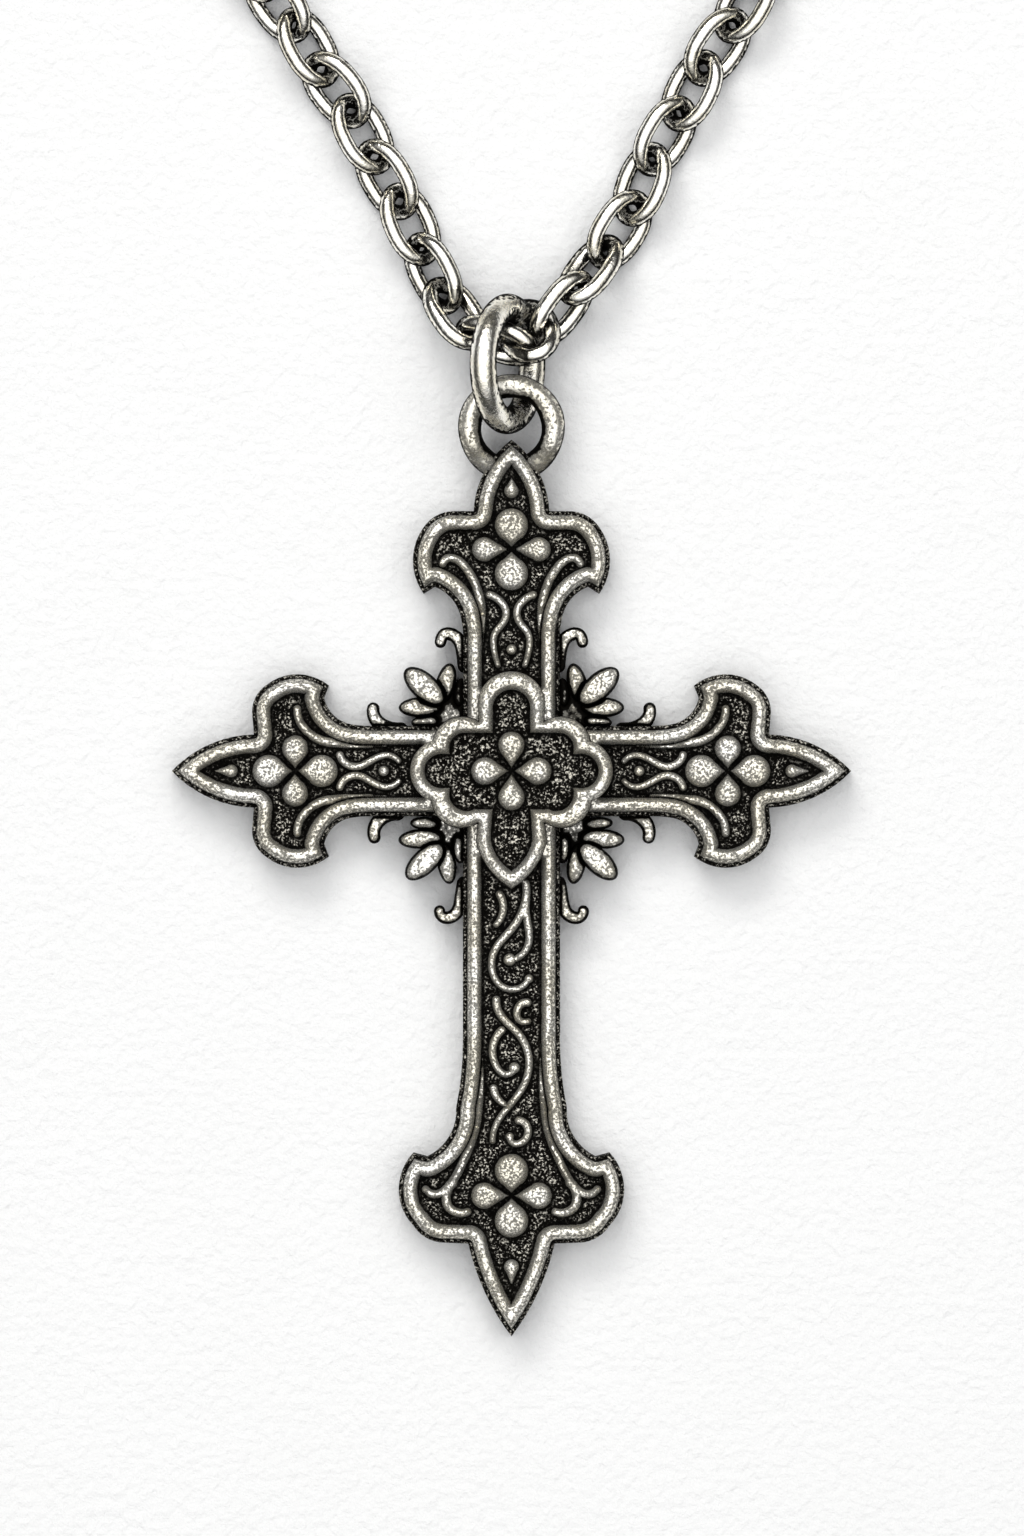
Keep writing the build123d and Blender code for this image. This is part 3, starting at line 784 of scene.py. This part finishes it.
GROUND_SILVER = stippled("ground_silver")
RELIEF_SILVER = antique("relief_silver", wear=0.34, grain=0.14, pits=0.72, roughness=0.32)
PETAL_SILVER = antique("petal_silver", wear=0.36, grain=0.14, pits=0.74, roughness=0.4)
LEAF_SILVER = antique("leaf_silver", wear=0.6, grain=0.17, pits=0.72, roughness=0.34, grain_bump=0.04)
BAIL_SILVER = antique("bail_silver", wear=0.4, grain=0.2, pits=0.66, roughness=0.34)
RING_SILVER = wire("ring_silver", 0.24, 0.36, 0.03)
CHAIN_SILVER = wire("chain_silver", 0.17, 0.37, 0.018)
CLASP_SILVER = wire("clasp_silver", 0.28, 0.46, 0.03, has_crest=False)

ARMS = ("top", "left", "bottom", "right")
PETALS = {"grain": 0.02, "dome": 0.18}
ON_GROUND = ["border_rim", "shaft_vine", "boss_plate", "top_tendrils", "left_tendrils", "right_tendrils"]
ON_GROUND += [f"{arm}_{kind}" for arm in ARMS for kind in ("volutes", "flower", "point_drop")]

boss = sides([resampled(loop, 0.2) for loop in all_loops("boss_plate")])
ground("cross_plate", GROUND_SILVER, ON_GROUND)
ground("boss_plate", GROUND_SILVER, ["boss_rim", "boss_flower"])
ornament("border_rim", 0.43, "relief_silver", RELIEF_SILVER, power=4.2, joined=boss)
for arm in ARMS:
    ornament(f"{arm}_volutes", 0.29, "relief_silver", RELIEF_SILVER, power=4.5, joined=boss)
    ornament(f"{arm}_flower", 0.95, "petal_silver", PETAL_SILVER, **PETALS, joined=boss)
    ornament(f"{arm}_point_drop", 0.4, "relief_silver", RELIEF_SILVER, joined=boss)
for name in ("top_tendrils", "left_tendrils", "right_tendrils", "shaft_vine"):
    ornament(name, 0.24, "relief_silver", RELIEF_SILVER, power=4.5, step=STEP * 0.75, joined=boss)
ornament("boss_rim", 0.45, "relief_silver", RELIEF_SILVER, power=4.2)
ornament("boss_flower", 0.8, "petal_silver", PETAL_SILVER, **PETALS)
for level in ("upper", "lower"):
    for side in ("left", "right"):
        lobe(f"{level}_{side}_leaves", 0.36, 0.9, LEAF_SILVER)
for name in ("upper_curls", "shaft_curls", "arm_curls"):
    lobe(name, 0.26, 0.4, LEAF_SILVER)

# ---------------------------------------------------------------- build: bail, ring, chain
BAIL_WIRE, BAIL_R, BAIL_AT = 1.3, 2.34, Vector((0, 19.2, 2.75))
BAIL_STEPS, BAIL_START, BAIL_SWEEP = 81, -64, 308
RING_WIRE, RING_R = 1.5, 3.18
RING_AT, RING_TILT, RING_YAW = Vector((-0.21, 22.735, 3.64)), 64.6, -1.5
LINK_AT, LINK_TURN = Vector((0.962, 24.609, 2.281)), (-47.8, -1.5, 23.1)
CENTRE_SHAPE = (5.05, 3.55, 0.95 / 2)  # length, width and half the wire


def turned(x, y, z):
    """The rotation by x, then y, then z degrees."""
    turns = [Matrix.Rotation(math.radians(a), 3, axis) for a, axis in ((z, "Z"), (y, "Y"), (x, "X"))]
    return turns[0] @ turns[1] @ turns[2]


def bail_mesh():
    """A cast ring that sinks behind the top point at both ends, with painted shade: dark on its lower
    sides and darker on its inner side.
    """
    points, thick = [], []
    for i in range(BAIL_STEPS):
        angle = math.radians(BAIL_START + BAIL_SWEEP * i / (BAIL_STEPS - 1))
        sink = max(0.0, (-math.sin(angle) - 0.35) / 0.55)
        points.append(BAIL_AT + Vector((BAIL_R * math.cos(angle), BAIL_R * math.sin(angle), -sink)))
        thick.append(BAIL_WIRE / 2 * (1 + 0.03 * math.sin(5 * angle)))
    verts = swept(points, WIRE_SIDES, thick, closed=False)
    crest = []
    for i, up in enumerate(lit(verts, points, WIRE_SIDES, BAIL_WIRE / 2)):
        point = points[i // WIRE_SIDES]
        inward = (BAIL_AT - point).normalized().dot(verts[i] - point) / (BAIL_WIRE / 2)
        # Painted shade: dark where the wire faces down and where it faces into the ring.
        crest.append(1.1 * up - 0.05 - 0.5 * max(0.0, inward))
    return mesh_of("bail_cast", [(verts, wire_faces(BAIL_STEPS, WIRE_SIDES, False), crest)])


place_piece("bail_cast", bail_mesh(), "bail", BAIL_SILVER)
ring_mesh = open_ring("jump_ring_wire", RING_AT, turned(0, RING_TILT, RING_YAW), RING_R, RING_WIRE / 2,
                      math.radians(-75), 0.12)
place_piece("jump_ring_wire", ring_mesh, "jump_ring", RING_SILVER, "jump_ring")
link_x, link_y, link_z = LINK_TURN
centre_axes = turned(0, 0, link_z) @ turned(link_x, 0, 0) @ turned(0, link_y, 90)
centre_link = chain_mesh("centre_link_wire", [(LINK_AT, centre_axes, *CENTRE_SHAPE)])
place_piece("centre_link_wire", centre_link, "centre_link", CHAIN_SILVER, "jump_ring")

# ---------------------------------------------------------------- build: clasp
CLASP_AT = Vector((0, 57.3, 1.8))
SMALL_WIRE, SMALL_R = 0.7, 1.45
for node, across, seam in (("end_ring", 3.6, 60), ("clasp_ring", -4.9, 200)):
    small_ring = open_ring(f"{node}_wire", CLASP_AT + Vector((across, 0, 0)), turned(90, 0, 0), SMALL_R,
                           SMALL_WIRE / 2, math.radians(seam), 0.06)
    place_piece(f"{node}_wire", small_ring, node, RING_SILVER, node)
for node in ("clasp_body", "clasp_lever", "clasp_pin", "clasp_spring"):
    piece = nodes[node]
    piece.data.materials.clear()
    piece.data.materials.append(CLASP_SILVER)
    if node != "clasp_spring":
        soft_edge = piece.modifiers.new("soft_edge", "BEVEL")
        soft_edge.width = 0.12 * MM
        soft_edge.segments = 3
        soft_edge.limit_method = "ANGLE"

# ---------------------------------------------------------------- build: chain
# The chain starts inside the centre link. Links listed one by one have a middle, a heading, a rise and a
# roll.
LEFT_START, RIGHT_START = (0.6, 23.8, 2.4), (1.2, 25.0, 2.3)
LEFT_BY_HAND = [
    ((-0.786, 24.101, 2.398), 161.7, -8.4, -51.3), ((-3.136, 25.625, 1.904), 122.8, -20.0, 31.9),
]
RIGHT_BY_HAND = [
    ((2.804, 25.899, 2.294), 53.3, -0.6, 46.4), ((4.446, 28.061, 1.805), 54.7, -19.7, -42.1),
]
# Each strand: its name and side; its route, tail and coil height; the listed links, the next spot
# and the lead; the landing link and the last one; the pieces that its far end carries.
STRANDS = (
    ("left", -1, [LEFT_START] + LEFT_ROUTE, LEFT_TAIL, LAY, LEFT_BY_HAND, (-4.5, 28.1, LAY), 0,
     ((-4.371, 27.889, 1.414), 117.1, -3.0, -45.9), ((5.977, 57.706, 1.301), 212.3, 1.8, -29.3),
     ["end_ring_wire"]),
    ("right", 1, [RIGHT_START] + RIGHT_ROUTE, RIGHT_TAIL, UPPER, RIGHT_BY_HAND, (5.86, 30.3, LAY), 1,
     ((6.057, 30.332, 1.291), 57.4, -2.2, 36.6), ((-7.176, 57.727, 1.386), -40.0, -9.0, 31.9),
     ["clasp_ring_wire", "clasp_body", "clasp_lever", "clasp_pin", "clasp_spring"]),
)
for name, side, route, tail, height, by_hand, next_spot, lead, landing, last, fitting in STRANDS:
    line = centreline(name, route + coil_points(side, height) + tail)
    places, length = strand(line, by_hand, next_spot, lead, landing, last)
    mesh = chain_mesh(f"{name}_chain", places)
    piece = place_piece(f"{name}_chain", mesh, f"{name}_strand", CHAIN_SILVER, None)
    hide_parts(f"{name}_coil", f"{name}_tail")
    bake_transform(piece)

# ---------------------------------------------------------------- build: paper
PAPER_HALF = 0.6
corners = [(x * PAPER_HALF, y * PAPER_HALF, 0) for x, y in ((-1, -1), (1, -1), (1, 1), (-1, 1))]
floor = bpy.data.meshes.new("paper")
floor.from_pydata(corners, [], [(0, 1, 2, 3)])
floor.materials.append(paper())
new_object("paper", floor)
